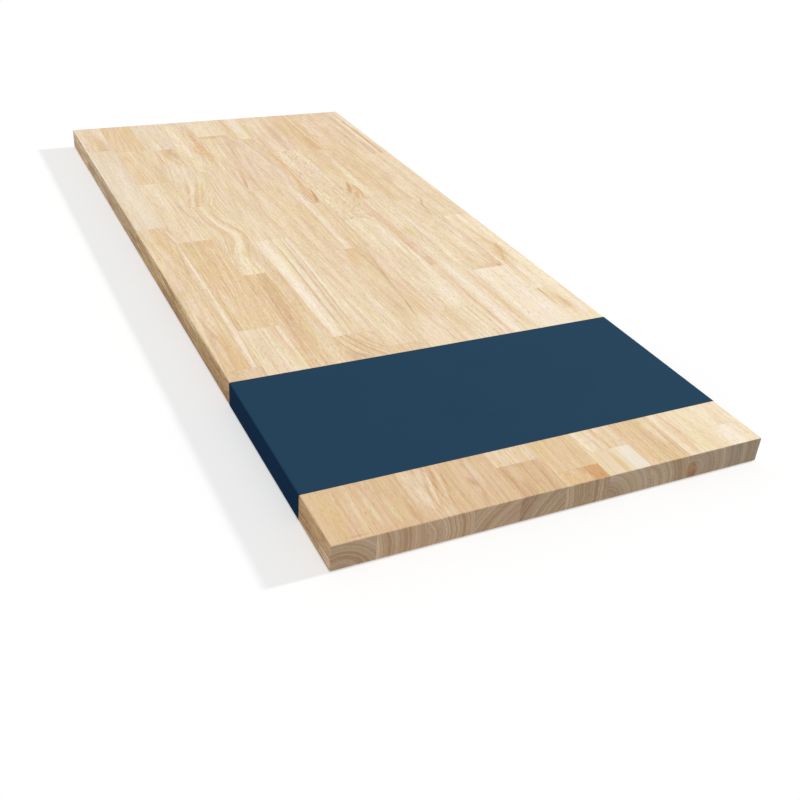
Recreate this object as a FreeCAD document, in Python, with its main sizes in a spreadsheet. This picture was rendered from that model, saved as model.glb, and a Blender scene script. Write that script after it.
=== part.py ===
"""Butcher block countertop: ten staves of finger-jointed wood blocks in a card sleeve.

Millimetres. The board lies flat with +Z up. X runs along the length, with the near end at +X,
and Y runs across the width. The origin is at the middle of the lowest face.
"""
import FreeCAD, Part
import os
import Sketcher

SIZES = [
    ("board_length", 1524.0, "60 inches, along X"),
    ("board_width", 635.0, "25 inches, along Y"),
    ("board_thickness", 38.1, "1.5 inches, along Z"),
    ("stave_width", 65.0, "one full stave, the two outer ones are ripped to what is left"),
    ("narrowest_stave", 20.0, "an outer stave is never ripped narrower than this"),
    ("shortest_block", 25.0, "a block cut off at the board's end is at least this long"),
    ("finger_count", 6.0, "fingers through the thickness at each end-to-end joint"),
    ("finger_length", 12.0, "how far the fingers of two blocks reach into each other"),
    ("finger_tip", 1.0, "flat left on the tip of each finger"),
    ("edge_ease", 2.0, "radius sanded on every outside edge of the board"),
    ("card_thickness", 0.4, "printed card of the sleeve"),
    ("sleeve_width", 273.0, "the sleeve, along X"),
    ("sleeve_from_end", 100.0, "bare board between the sleeve and the near end"),
    ("lap_width", 25.0, "where the card is glued over itself underneath"),
    ("lap_from_edge", 305.0, "from the board's low Y edge to the lap"),
]

# Joints of each stave where their lines show on the top, from the far end of the board, low Y
# stave first. The fingers reach on from there towards the near end.
JOINTS = [
    [157.0, 594.0, 858.0, 1122.0],
    [172.0, 372.0, 669.0, 1012.0, 1322.0],
    [179.0, 514.0, 829.0, 1202.0],
    [332.0, 699.0, 1074.0, 1362.0],
    [114.0, 462.0, 779.0, 1127.0, 1459.0],
    [149.0, 557.0, 777.0, 1157.0, 1495.0],
    [250.0, 652.0, 1047.0, 1472.0],
    [259.0, 562.0, 884.0, 1232.0],
    [222.0, 590.0, 924.0, 1282.0],
    [312.0, 687.0, 1024.0, 1477.0],
]

FIRST_SIZE_ROW = 2
TOLERANCE = 1e-6

doc = FreeCAD.newDocument("countertop")


def make_sheet():
    """The driving dimensions, with the joints of each stave below them."""
    sheet = doc.addObject("Spreadsheet::Sheet", "Sizes")
    sheet.set("A1", "name")
    sheet.set("B1", "millimetres")
    rows = list(SIZES)
    for stave, joints in enumerate(JOINTS, start=1):
        for number, place in enumerate(joints, start=1):
            rows.append((joint_name(stave, number), place, "from the far end"))
    for row, (name, value, note) in enumerate(rows, start=FIRST_SIZE_ROW):
        sheet.set(f"A{row}", name)
        sheet.set(f"B{row}", str(value))
        sheet.set(f"C{row}", note)
        sheet.setAlias(f"B{row}", name)
    doc.recompute()
    return sheet


def joint_name(stave, number):
    return f"stave_{stave:02d}_joint_{number}"


def origin_plane(body, role):
    return next(plane for plane in body.Origin.OriginFeatures if plane.Role == role)


def make_body(label, placement):
    """A body whose corner is placed by three expressions."""
    body = doc.addObject("PartDesign::Body", label)
    body.Label = label
    for axis, expression in zip("xyz", placement):
        body.setExpression(f"Placement.Base.{axis}", expression)
    return body


def make_sketch(body, role, name):
    sketch = body.newObject("Sketcher::SketchObject", name)
    sketch.AttachmentSupport = (origin_plane(body, role), [""])
    sketch.MapMode = "FlatFace"
    return sketch


def draw_outline(sketch, points):
    """Closed outline of straight lines, end on end."""
    corners = [FreeCAD.Vector(u, v, 0) for u, v in points]
    count = len(corners)
    for index in range(count):
        sketch.addGeometry(Part.LineSegment(corners[index], corners[(index + 1) % count]), False)
    for index in range(count):
        sketch.addConstraint(Sketcher.Constraint("Coincident", index, 2, (index + 1) % count, 1))


def bind(sketch, kind, where, value, expression):
    """A dimension of the sketch that follows the sheet."""
    index = sketch.addConstraint(Sketcher.Constraint(kind, *where, value))
    sketch.setExpression(f"Constraints[{index}]", expression)


def draw_rectangle(sketch, low, size, low_words, size_words):
    """Rectangle with its low corner at low. A corner at zero sits on the sketch's origin."""
    (u, v), (wide, high) = low, size
    draw_outline(sketch, [(u, v), (u + wide, v), (u + wide, v + high), (u, v + high)])
    for line, kind in enumerate(["Horizontal", "Vertical", "Horizontal", "Vertical"]):
        sketch.addConstraint(Sketcher.Constraint(kind, line))
    if low_words is None:
        sketch.addConstraint(Sketcher.Constraint("Coincident", 0, 1, -1, 1))
    else:
        bind(sketch, "DistanceX", (-1, 1, 0, 1), u, low_words[0])
        if v < 0:
            bind(sketch, "DistanceY", (0, 1, -1, 1), -v, low_words[1])
        else:
            bind(sketch, "DistanceY", (-1, 1, 0, 1), v, low_words[1])
    bind(sketch, "DistanceX", (0, 1, 0, 2), wide, size_words[0])
    bind(sketch, "DistanceY", (1, 1, 1, 2), high, size_words[1])


def finish_pad(body, sketch, name, expression):
    pad = body.newObject("PartDesign::Pad", name)
    pad.Profile = sketch
    pad.setExpression("Length", expression)
    sketch.Visibility = False
    return pad


sheet = make_sheet()
length = float(sheet.board_length)
width = float(sheet.board_width)
thickness = float(sheet.board_thickness)
card = float(sheet.card_thickness)
reach = float(sheet.finger_length)
tip = float(sheet.finger_tip)
fingers = int(round(float(sheet.finger_count)))
pitch = thickness / fingers

BOARD_BASE = "2 * Sizes.card_thickness"
PITCH = "Sizes.board_thickness / Sizes.finger_count"


def glue_lines():
    """Places across the board where two staves meet, and its two edges, as (mm, expression)."""
    half = width / 2
    stave = float(sheet.stave_width)
    per_side = int((half - float(sheet.narrowest_stave)) / stave)
    inner = [(k * stave, f"{k} * Sizes.stave_width") for k in range(-per_side, per_side + 1)]
    return [(-half, "-Sizes.board_width / 2")] + inner + [(half, "Sizes.board_width / 2")]


def stave_ends(stave):
    """Ends of the blocks in one stave, as (mm from the far end, expression, is a finger joint)."""
    row = (stave - 1) % len(JOINTS)
    last = length - float(sheet.shortest_block)
    ends = [(0.0, "0", False)]
    for number in range(1, len(JOINTS[row]) + 1):
        name = joint_name(row + 1, number)
        place = float(sheet.get(name))
        if place < last:
            ends.append((place, f"Sizes.{name}", True))
    return ends + [(length, "Sizes.board_length", False)]


def make_blank(label, start, end, low, high):
    """The block as a plain bar, longer by its fingers where it ends in a joint."""
    body = make_body(label, (f"{start[1]} - Sizes.board_length / 2", low[1], BOARD_BASE))
    long_words = f"{end[1]} - {start[1]}"
    long = end[0] - start[0]
    if end[2]:
        long_words += " + Sizes.finger_length"
        long += reach
    sketch = make_sketch(body, "XY_Plane", label + "_plan")
    size_words = (long_words, f"({high[1]}) - ({low[1]})")
    draw_rectangle(sketch, (0.0, 0.0), (long, high[0] - low[0]), None, size_words)
    pad = finish_pad(body, sketch, label + "_bar", "Sizes.board_thickness")
    return {"body": body, "pad": pad, "long": long, "wide": high[0] - low[0],
            "long_words": long_words, "start": start[2], "end": end[2]}


def on_outside(block, edge):
    """True for an edge of the bar that is an outside edge of the whole board."""
    x, y, z = edge.CenterOfMass
    outside = [
        not block["start"] and abs(x) < TOLERANCE,
        not block["end"] and abs(x - block["long"]) < TOLERANCE,
        block["low_edge"] and abs(y) < TOLERANCE,
        block["high_edge"] and abs(y - block["wide"]) < TOLERANCE,
        abs(z) < TOLERANCE,
        abs(z - thickness) < TOLERANCE,
    ]
    return sum(outside) == 2


def ease_edges(block):
    """Sanded round-over where the bar lies at the outside of the board."""
    edges = block["pad"].Shape.Edges
    names = [f"Edge{n}" for n, edge in enumerate(edges, start=1) if on_outside(block, edge)]
    if not names:
        return
    ease = block["body"].newObject("PartDesign::Fillet", block["body"].Label + "_ease")
    ease.Base = (block["pad"], names)
    ease.setExpression("Radius", "Sizes.edge_ease")


def draw_gap(sketch, mouth, root, mouth_words, root_words, centred):
    """Tapered gap between two fingers, wide at its mouth and one finger tip wide at its root.

    The first gap is centred on the bottom face, or half a pitch above it.
    """
    wide = pitch - tip
    centre = 0.0 if centred else pitch / 2
    draw_outline(sketch, [(mouth, centre - wide / 2), (mouth, centre + wide / 2),
                          (root, centre + tip / 2), (root, centre - tip / 2)])
    sketch.addConstraint(Sketcher.Constraint("Vertical", 0))
    sketch.addConstraint(Sketcher.Constraint("Vertical", 2))
    bind(sketch, "DistanceX", (-1, 1, 0, 1), mouth, mouth_words)
    bind(sketch, "DistanceX", (-1, 1, 2, 1), root, root_words)
    bind(sketch, "DistanceY", (0, 1, 0, 2), wide, f"{PITCH} - Sizes.finger_tip")
    bind(sketch, "DistanceY", (2, 2, 2, 1), tip, "Sizes.finger_tip")
    if centred:
        bind(sketch, "DistanceY", (0, 1, -1, 1), wide / 2, f"({PITCH} - Sizes.finger_tip) / 2")
        bind(sketch, "DistanceY", (2, 2, -1, 1), tip / 2, "Sizes.finger_tip / 2")
    else:
        bind(sketch, "DistanceY", (-1, 1, 0, 1), tip / 2, "Sizes.finger_tip / 2")
        bind(sketch, "DistanceY", (-1, 1, 2, 2), (pitch - tip) / 2,
             f"({PITCH} - Sizes.finger_tip) / 2")


def cut_fingers(block, side, mouth, root, mouth_words, root_words):
    """One gap, cut across the stave and repeated up the thickness.

    The end cut has a half gap at both faces, the start cut has whole gaps only, so the fingers
    of one block fill the gaps of the next.
    """
    body = block["body"]
    centred = side == "end"
    sketch = make_sketch(body, "XZ_Plane", f"{body.Label}_{side}_gap")
    draw_gap(sketch, mouth, root, mouth_words, root_words, centred)
    pocket = body.newObject("PartDesign::Pocket", f"{body.Label}_{side}_cut")
    pocket.Profile = sketch
    pocket.Type = "ThroughAll"
    sketch.Visibility = False
    pattern = body.newObject("PartDesign::LinearPattern", f"{body.Label}_{side}_fingers")
    pattern.Originals = [pocket]
    pattern.Direction = (sketch, ["V_Axis"])
    steps = "Sizes.finger_count" if centred else "(Sizes.finger_count - 1)"
    pattern.setExpression("Length", f"{steps} * {PITCH}")
    pattern.Occurrences = fingers + 1 if centred else fingers
    body.Tip = pattern


def make_blocks():
    """Every block of every stave."""
    lines = glue_lines()
    blocks = []
    for stave in range(1, len(lines)):
        ends = stave_ends(stave)
        for number in range(1, len(ends)):
            label = f"stave_{stave:02d}_block_{number}"
            block = make_blank(label, ends[number - 1], ends[number], lines[stave - 1], lines[stave])
            block["low_edge"] = stave == 1
            block["high_edge"] = stave == len(lines) - 1
            blocks.append(block)
    doc.recompute()
    for block in blocks:
        ease_edges(block)
        if block["start"]:
            cut_fingers(block, "start", 0.0, reach, "0", "Sizes.finger_length")
        if block["end"]:
            cut_fingers(block, "end", block["long"], block["long"] - reach, block["long_words"],
                        f"({block['long_words']}) - Sizes.finger_length")
    doc.recompute()
    return [block["body"] for block in blocks]


def long_edges(shape):
    """Names of the edges that run along X."""
    return [f"Edge{number}" for number, edge in enumerate(shape.Edges, start=1)
            if edge.BoundBox.XLength > TOLERANCE]


def cut_faces(shape):
    """Names of the two faces where the card was cut, which look along X."""
    return [f"Face{number}" for number, face in enumerate(shape.Faces, start=1)
            if face.BoundBox.XLength < TOLERANCE]


def make_sleeve():
    """One sheet of card wrapped round the board and glued over itself underneath."""
    corner = ("Sizes.board_length / 2 - Sizes.sleeve_from_end - Sizes.sleeve_width",
              "-Sizes.board_width / 2 - Sizes.card_thickness", "Sizes.card_thickness")
    body = make_body("card_sleeve", corner)
    outside = make_sketch(body, "YZ_Plane", "wrap_outside")
    draw_rectangle(outside, (0.0, 0.0), (width + 2 * card, thickness + 2 * card), None,
                   ("Sizes.board_width + 2 * Sizes.card_thickness",
                    "Sizes.board_thickness + 2 * Sizes.card_thickness"))
    wrap = finish_pad(body, outside, "wrap", "Sizes.sleeve_width")
    doc.recompute()
    folds = body.newObject("PartDesign::Fillet", "folds_over_the_edges")
    folds.Base = (wrap, long_edges(wrap.Shape))
    folds.setExpression("Radius", "Sizes.edge_ease + Sizes.card_thickness")
    doc.recompute()
    hollow = body.newObject("PartDesign::Thickness", "card_wall")
    hollow.Base = (folds, cut_faces(folds.Shape))
    hollow.setExpression("Value", "Sizes.card_thickness")
    hollow.Reversed = True
    doc.recompute()
    lap = make_sketch(body, "YZ_Plane", "lap_outline")
    draw_rectangle(lap, (float(sheet.lap_from_edge) + card, -card), (float(sheet.lap_width), card),
                   ("Sizes.lap_from_edge + Sizes.card_thickness", "Sizes.card_thickness"),
                   ("Sizes.lap_width", "Sizes.card_thickness"))
    finish_pad(body, lap, "glued_lap", "Sizes.sleeve_width")
    doc.recompute()
    return body


def check(pieces):
    """Stop before anything is written if a feature failed or a piece isn't one sound solid."""
    for item in doc.Objects:
        if "Invalid" in item.State or "Error" in item.State:
            raise RuntimeError(f"{item.Label}: {item.State}")
    for piece in pieces:
        shape = piece.Shape
        if shape.isNull() or not shape.isValid() or len(shape.Solids) != 1:
            raise RuntimeError(f"{piece.Label} isn't one valid solid")


def export(pieces):
    os.makedirs("parts", exist_ok=True)
    for piece in pieces:
        piece.Shape.exportStep(f"parts/{piece.Label}.step")


blocks = make_blocks()
sleeve = make_sleeve()
pieces = blocks + [sleeve]
check(pieces)
export(pieces)
board_volume = sum(piece.Shape.Volume for piece in blocks)
print(len(blocks), "blocks,", round(board_volume / 1e9, 6), "cubic metres of wood")
print("slab without eased edges:", round(length * width * thickness / 1e9, 6), "cubic metres")
print("sleeve:", round(sleeve.Shape.Volume / 1e3, 1), "cubic centimetres")
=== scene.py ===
# %% [markdown]
# # A butcher block countertop
# The board is a stack of sawn blocks: short pieces of pale hardwood, joined end to end with
# machined fingers into staves, and the staves glued edge to edge. A sleeve of printed card is
# wrapped round it near one end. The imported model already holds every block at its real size, so
# this script gives each block its own piece of tree, and makes the card.

# %% Load the frame
import math
import random
import bpy
import bmesh
from mathutils import Matrix, Vector


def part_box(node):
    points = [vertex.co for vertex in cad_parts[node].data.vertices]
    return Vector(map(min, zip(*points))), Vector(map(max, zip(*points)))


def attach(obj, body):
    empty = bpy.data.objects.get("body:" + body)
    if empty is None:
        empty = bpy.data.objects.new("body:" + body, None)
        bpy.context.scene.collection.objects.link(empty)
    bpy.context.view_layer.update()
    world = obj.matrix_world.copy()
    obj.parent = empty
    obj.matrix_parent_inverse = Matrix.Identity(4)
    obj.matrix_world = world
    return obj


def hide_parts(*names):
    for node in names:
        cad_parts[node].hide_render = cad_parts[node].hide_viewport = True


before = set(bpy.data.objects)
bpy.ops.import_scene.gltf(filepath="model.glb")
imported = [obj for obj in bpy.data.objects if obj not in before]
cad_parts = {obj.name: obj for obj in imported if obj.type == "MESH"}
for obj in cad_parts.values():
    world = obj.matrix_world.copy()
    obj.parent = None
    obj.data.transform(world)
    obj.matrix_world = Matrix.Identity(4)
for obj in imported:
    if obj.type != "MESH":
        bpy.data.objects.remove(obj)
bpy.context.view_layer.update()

blocks = sorted(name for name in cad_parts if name.startswith("stave_"))
sleeve_low, sleeve_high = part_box("card_sleeve")
board_low = Vector([min(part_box(name)[0][axis] for name in blocks) for axis in range(3)])
board_high = Vector([max(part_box(name)[1][axis] for name in blocks) for axis in range(3)])
print(len(blocks), "blocks, board from", board_low[:], "to", board_high[:])

# %% [markdown]
# The camera stands above the near left corner of the board and looks down its length. A long
# board seen from close by shows strong perspective, so the place of the camera matters more than
# its lens. It is also rolled a few degrees, which makes the board lean in the frame.

# %% Camera
CAMERA_PLACE = Vector((1.5742, -0.6729, 0.7907))
LOOKS_AT = Vector((0.4539, -0.0816, 0.0))
ROLL = math.radians(4.487)
LENS_MM = 46.157
SENSOR_MM = 36.0

camera_data = bpy.data.cameras.new("camera")
camera_data.lens = LENS_MM
camera_data.sensor_width = SENSOR_MM
camera_data.clip_end = 60.0
camera = bpy.data.objects.new("camera", camera_data)
bpy.context.scene.collection.objects.link(camera)
camera.rotation_mode = "QUATERNION"
camera.location = CAMERA_PLACE
turn = (LOOKS_AT - CAMERA_PLACE).to_track_quat("-Z", "Y")
camera.rotation_quaternion = turn @ Matrix.Rotation(ROLL, 3, "Z").to_quaternion()
bpy.context.scene.camera = camera
print("camera", round((LOOKS_AT - CAMERA_PLACE).length, 3), "m from the point it looks at")

# %% [markdown]
# Studio light for a pale board: an even white room does the filling, a lamp straight above
# brightens the top, and a low one from the high Y side throws the shadow. The two near edges get
# neither, so they stay in shade. The three levels add up to about one, so that a colour on the top
# renders about as it is written.

# %% Light
FILL_LEVEL = 0.43
TOP_LEVEL = 0.27
TOP_FROM = Vector((0.0, 0.0, 1.0))
LOW_LEVEL = 0.26
LOW_FROM = Vector((0.0, 0.90, 0.44))
LAMP_SOFTNESS = math.radians(4)

scene = bpy.context.scene
scene.view_settings.view_transform = "Standard"


def link(tree, start, end):
    tree.links.new(start, end)


def seen_directly(tree):
    """1 for rays from the camera, a mirror or through glass, which see the plain white."""
    path = tree.nodes.new("ShaderNodeLightPath")
    total = path.outputs["Is Camera Ray"]
    for name in ("Is Glossy Ray", "Is Transmission Ray"):
        add = tree.nodes.new("ShaderNodeMath")
        add.operation = "MAXIMUM"
        link(tree, total, add.inputs[0])
        link(tree, path.outputs[name], add.inputs[1])
        total = add.outputs[0]
    return total


world = bpy.data.worlds.new("white_room")
world.use_nodes = True
scene.world = world
room = world.node_tree
room.nodes.clear()
strength = room.nodes.new("ShaderNodeMapRange")
strength.inputs["To Min"].default_value = FILL_LEVEL
strength.inputs["To Max"].default_value = 1.0
link(room, seen_directly(room), strength.inputs["Value"])
background = room.nodes.new("ShaderNodeBackground")
background.inputs["Color"].default_value = (1, 1, 1, 1)
link(room, strength.outputs["Result"], background.inputs["Strength"])
room_output = room.nodes.new("ShaderNodeOutputWorld")
link(room, background.outputs[0], room_output.inputs["Surface"])


def far_lamp(name, level, comes_from):
    """A soft lamp far away, which adds its level to the light on a level surface."""
    data = bpy.data.lights.new(name, "SUN")
    data.angle = LAMP_SOFTNESS
    data.energy = level * math.pi / comes_from.normalized().z
    lamp = bpy.data.objects.new(name, data)
    scene.collection.objects.link(lamp)
    lamp.rotation_mode = "QUATERNION"
    lamp.rotation_quaternion = (-comes_from).to_track_quat("-Z", "Y")
    print(name, "lamp", round(data.energy, 2))


far_lamp("top", TOP_LEVEL, TOP_FROM)
far_lamp("low", LOW_LEVEL, LOW_FROM)
print("light on the top", round(FILL_LEVEL + TOP_LEVEL + LOW_LEVEL, 2))

# %% [markdown]
# The floor is a large white sheet. Seen directly it is part even white and part ordinary matt
# white, so that it keeps a faint shadow, as on a catalogue page. For the light that it throws back
# on the board it is plain pale grey.

# %% Floor
FLOOR_HALF = 9.0
FLOOR_EVEN_SHARE = 0.42
FLOOR_EVEN_LEVEL = 1.06
FLOOR_BOUNCE = 0.85


def white_floor():
    material = bpy.data.materials.new("white_floor")
    material.use_nodes = True
    tree = material.node_tree
    tree.nodes.clear()
    even = tree.nodes.new("ShaderNodeEmission")
    even.inputs["Strength"].default_value = FLOOR_EVEN_LEVEL
    matt = tree.nodes.new("ShaderNodeBsdfDiffuse")
    matt.inputs["Color"].default_value = (1, 1, 1, 1)
    shown = tree.nodes.new("ShaderNodeMixShader")
    shown.inputs[0].default_value = FLOOR_EVEN_SHARE
    link(tree, matt.outputs[0], shown.inputs[1])
    link(tree, even.outputs[0], shown.inputs[2])
    bounce = tree.nodes.new("ShaderNodeBsdfDiffuse")
    bounce.inputs["Color"].default_value = (FLOOR_BOUNCE, FLOOR_BOUNCE, FLOOR_BOUNCE, 1)
    seen = tree.nodes.new("ShaderNodeMixShader")
    link(tree, seen_directly(tree), seen.inputs[0])
    link(tree, bounce.outputs[0], seen.inputs[1])
    link(tree, shown.outputs[0], seen.inputs[2])
    output = tree.nodes.new("ShaderNodeOutputMaterial")
    link(tree, seen.outputs[0], output.inputs["Surface"])
    return material


bpy.ops.object.select_all(action="DESELECT")
bpy.ops.mesh.primitive_plane_add(size=2 * FLOOR_HALF, location=(0, 0, 0))
floor = bpy.context.active_object
floor.name = "floor"
floor.data.materials.append(white_floor())
print("floor", 2 * FLOOR_HALF, "m wide")

# %% [markdown]
# ## Wood
# A block is a bar sawn out of a tree, and everything that shows on its faces comes from that:
# growth rings are long cones round the pith, so the same rings make arches or stripes on the top
# and arcs on the sawn end. One node group works out where a point lies in the tree and colours it.
# Each block then gets the group with its own pith, lean and tone. The pattern is solid, so it runs
# round every edge the way a real grain does, which no flat picture of wood can do.

# %% [markdown]
# Shader trees can be drawn by hand or written. These few functions write them, so that a formula
# reads nearly as it would on paper. Each makes one node, links or fills its inputs and hands back
# its output.

# %% Helpers for numbers


def value_of(tree, socket, value):
    """Sets a socket to a number, a triple or another node's output."""
    if isinstance(value, bpy.types.NodeSocket):
        link(tree, value, socket)
    else:
        socket.default_value = value


def math_node(tree, operation, a, b=0.0, c=0.0):
    node = tree.nodes.new("ShaderNodeMath")
    node.operation = operation
    for socket, value in zip(node.inputs, (a, b, c)):
        value_of(tree, socket, value)
    return node.outputs[0]


def plus(tree, a, b):
    return math_node(tree, "ADD", a, b)


def minus(tree, a, b):
    return math_node(tree, "SUBTRACT", a, b)


def times(tree, a, b):
    return math_node(tree, "MULTIPLY", a, b)


def over(tree, a, b):
    return math_node(tree, "DIVIDE", a, b)


def times_plus(tree, a, b, c):
    return math_node(tree, "MULTIPLY_ADD", a, b, c)


def either(tree, choice, first, second):
    """The first value where choice is 0, the second where it is 1."""
    return times_plus(tree, choice, minus(tree, second, first), first)


def centred(tree, value, width):
    """A noise value moved from 0..1 to -width..+width."""
    return times(tree, minus(tree, value, 0.5), 2 * width)


def ramp(tree, value, low, high, to_low=0.0, to_high=1.0):
    """Smooth step of a value from one range to another."""
    node = tree.nodes.new("ShaderNodeMapRange")
    node.interpolation_type = "SMOOTHSTEP"
    for name, number in (("Value", value), ("From Min", low), ("From Max", high),
                         ("To Min", to_low), ("To Max", to_high)):
        value_of(tree, node.inputs[name], number)
    return node.outputs["Result"]


print("helpers for numbers ready")

# %% [markdown]
# Noise is what makes wood look grown. It is read at places in metres, stretched by its own number
# of waves a metre on each axis: few along the block and many across it give fibres. The places are
# the board's own, so a pattern stays in the wood and is cut by each face as a saw would cut it.

# %% Helpers for places and noise


def combine(tree, x, y, z):
    node = tree.nodes.new("ShaderNodeCombineXYZ")
    for socket, value in zip(node.inputs, (x, y, z)):
        value_of(tree, socket, value)
    return node.outputs[0]


def separate(tree, vector):
    node = tree.nodes.new("ShaderNodeSeparateXYZ")
    link(tree, vector, node.inputs[0])
    return node.outputs[:3]


def object_place(tree):
    """Where the shaded point lies, in metres, as three separate values."""
    return separate(tree, tree.nodes.new("ShaderNodeTexCoord").outputs["Object"])


def distance(tree, y, z):
    """The length of a move across and up."""
    node = tree.nodes.new("ShaderNodeVectorMath")
    node.operation = "LENGTH"
    link(tree, combine(tree, 0.0, y, z), node.inputs[0])
    return node.outputs["Value"]


def noise(tree, vector, detail=2.0, roughness=0.5):
    node = tree.nodes.new("ShaderNodeTexNoise")
    node.inputs["Scale"].default_value = 1.0
    node.inputs["Detail"].default_value = detail
    node.inputs["Roughness"].default_value = roughness
    link(tree, vector, node.inputs["Vector"])
    return node.outputs["Fac"]


def scaled_noise(tree, place, scale, seed, detail=2.0, roughness=0.5):
    """Noise with its own waves a metre on each axis. Another seed is another noise."""
    x, y, z = [times(tree, part, waves) for part, waves in zip(place, scale)]
    return noise(tree, combine(tree, x, y, plus(tree, z, seed)), detail, roughness)


print("helpers for places and noise ready")

# %% [markdown]
# An effect that every block needs is built once, as a node group with named inputs, and each
# block's material then uses it with values of its own. Colours are written as a painter would read
# them off a picture, 0 to 255, and turned into Blender's linear ones here.

# %% Helpers for colours and groups
FACING = (0.6, 0.9)


def linear(colour):
    """Blender's linear colour for a colour written as 0 to 255."""
    shares = [part / 255 for part in colour]
    return [s / 12.92 if s <= 0.04045 else ((s + 0.055) / 1.055) ** 2.4 for s in shares] + [1.0]


def mix_colour(tree, amount, a, b, blend="MIX", clamp=True):
    node = tree.nodes.new("ShaderNodeMix")
    node.data_type = "RGBA"
    node.blend_type = blend
    node.clamp_factor = clamp
    value_of(tree, node.inputs["Factor"], amount)
    value_of(tree, node.inputs["A"], a)
    value_of(tree, node.inputs["B"], b)
    return node.outputs["Result"]


def facing_masks(tree):
    """1 on the sawn ends, and 1 on the long edges of the board."""
    facing = separate(tree, tree.nodes.new("ShaderNodeTexCoord").outputs["Normal"])
    return [ramp(tree, math_node(tree, "ABSOLUTE", part), *FACING) for part in facing[:2]]


def new_group(name, inputs, outputs):
    """An empty node group with named sockets. Each is (name, kind, default)."""
    group = bpy.data.node_groups.new(name, "ShaderNodeTree")
    for label, kind, default in inputs:
        socket = group.interface.new_socket(label, in_out="INPUT", socket_type="NodeSocket" + kind)
        socket.default_value = default
    for label, kind in outputs:
        group.interface.new_socket(label, in_out="OUTPUT", socket_type="NodeSocket" + kind)
    return group, group.nodes.new("NodeGroupInput").outputs, group.nodes.new("NodeGroupOutput").inputs


def group_node(tree, group, values):
    """Places a group in a material, with its inputs set or linked, and hands back its outputs."""
    node = tree.nodes.new("ShaderNodeGroup")
    node.node_tree = group
    for name, value in values.items():
        value_of(tree, node.inputs[name], value)
    return node.outputs


def add_bump(tree, shader, height, strength, distance_m):
    bump = tree.nodes.new("ShaderNodeBump")
    bump.inputs["Strength"].default_value = strength
    bump.inputs["Distance"].default_value = distance_m
    link(tree, height, bump.inputs["Height"])
    link(tree, bump.outputs[0], shader.inputs["Normal"])


print("helpers for colours and groups ready")

# %% [markdown]
# No tree grows straight. All the grain of a block wanders slowly sideways along it, ripples, and
# wiggles a little, and beside a knot it sways aside in one hump. That move is the drift. Everything
# that follows the grain adds the same drift to its place, so that rings, marks and fibres bend
# together.

# %% The drift of the grain
# How far the grain moves in metres, in how many waves a metre on each axis, and with what detail.
WANDER = (0.006, (2.6, 8.0, 0.0), 1.0)
RIPPLE = (0.0012, (14.0, 45.0, 45.0), 2.0)
WIGGLE = (0.0008, (45.0, 110.0, 110.0), 1.0)


def drift_of(tree, place, seed, sway):
    """How far the grain is moved sideways, in metres."""
    drift = 0.0
    for width, scale, detail in (WANDER, RIPPLE, WIGGLE):
        move = scaled_noise(tree, place, scale, seed, detail)
        drift = plus(tree, drift, centred(tree, move, width))
    sway_x, sway_y, sway_reach = separate(tree, sway)
    past = over(tree, minus(tree, place[0], sway_x), sway_reach)
    hump = math_node(tree, "EXPONENT", times(tree, times(tree, past, past), -1))
    return minus(tree, drift, times(tree, hump, sway_y))


print("drift of up to", round(1000 * (WANDER[0] + RIPPLE[0] + WIGGLE[0]), 1), "mm")

# %% [markdown]
# A growth ring is a long cone round the pith, so one number says where a point lies in the tree:
# its distance from the pith, counted in rings. No two years are alike, so the rings are a little
# uneven. Noise that is read along that number makes the broad bands and the soft shading of a ring,
# and the last part of each ring gets the thin dark line that closes it, with gaps.

# %% The rings
# The drift moves the grain up by a share of what it moves it sideways.
DRIFT_UP_SHARE = 0.5

# How far from even the rings are, in rings, and in how many waves a ring.
UNEVEN_BY = 1.4
UNEVEN_WAVES = 0.4

# Noise along the rings: its waves a metre along x and a ring across, its own seed, its detail and
# roughness, and how far from the middle of its range it is cut off.
BANDS = (3.0, 0.55, 0.0, 3.0, 0.55, 0.2)
SHADING = (7.0, 1.5, 4.7, 2.0, 0.5, 0.2)
LINE_GAPS = (6.0, 1.0, 9.1, 2.0, 0.5, 0.14)

# The shares of a ring between which its closing line fades in, and out again.
LINE_IN = (0.72, 0.9)
LINE_OUT = (0.92, 1.0)


def off_pith(tree, place, drift, pith, lean):
    """How far a point is from the leaning pith, across and up."""
    x, y, z = place
    pith_x, pith_y, pith_z = separate(tree, pith)
    _, lean_y, lean_z = separate(tree, lean)
    along = minus(tree, x, pith_x)
    off_y = minus(tree, minus(tree, y, pith_y), times(tree, along, lean_y))
    off_z = minus(tree, minus(tree, z, pith_z), times(tree, along, lean_z))
    return plus(tree, off_y, drift), plus(tree, off_z, times(tree, drift, DRIFT_UP_SHARE))


def count_rings(tree, radius, ring_width, seed):
    even = over(tree, radius, ring_width)
    uneven = noise(tree, combine(tree, times(tree, even, UNEVEN_WAVES), seed, 0.0), detail=1.0)
    return plus(tree, even, centred(tree, uneven, UNEVEN_BY))


def ring_noise(tree, x, rings, seed, kind):
    """Noise that follows the rings, with its middle values spread out over 0 to 1."""
    waves_x, waves_ring, own_seed, detail, roughness, cut_off = kind
    at = combine(tree, times(tree, x, waves_x), times(tree, rings, waves_ring),
                 plus(tree, seed, own_seed))
    return ramp(tree, noise(tree, at, detail, roughness), 0.5 - cut_off, 0.5 + cut_off)


def closing_line(tree, x, rings, seed):
    """1 on the thin dark line that closes each ring."""
    step = math_node(tree, "FRACT", rings)
    line = times(tree, ramp(tree, step, *LINE_IN), ramp(tree, step, *LINE_OUT, 1.0, 0.0))
    return times(tree, line, ring_noise(tree, x, rings, seed, LINE_GAPS))


print("a ring's line fades in from", LINE_IN[0], "of its width")

# %% [markdown]
# Near the pith the wood may be stained: that is the heart, orange with brown patches and with an
# uneven edge. A radius below zero leaves it out.

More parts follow.
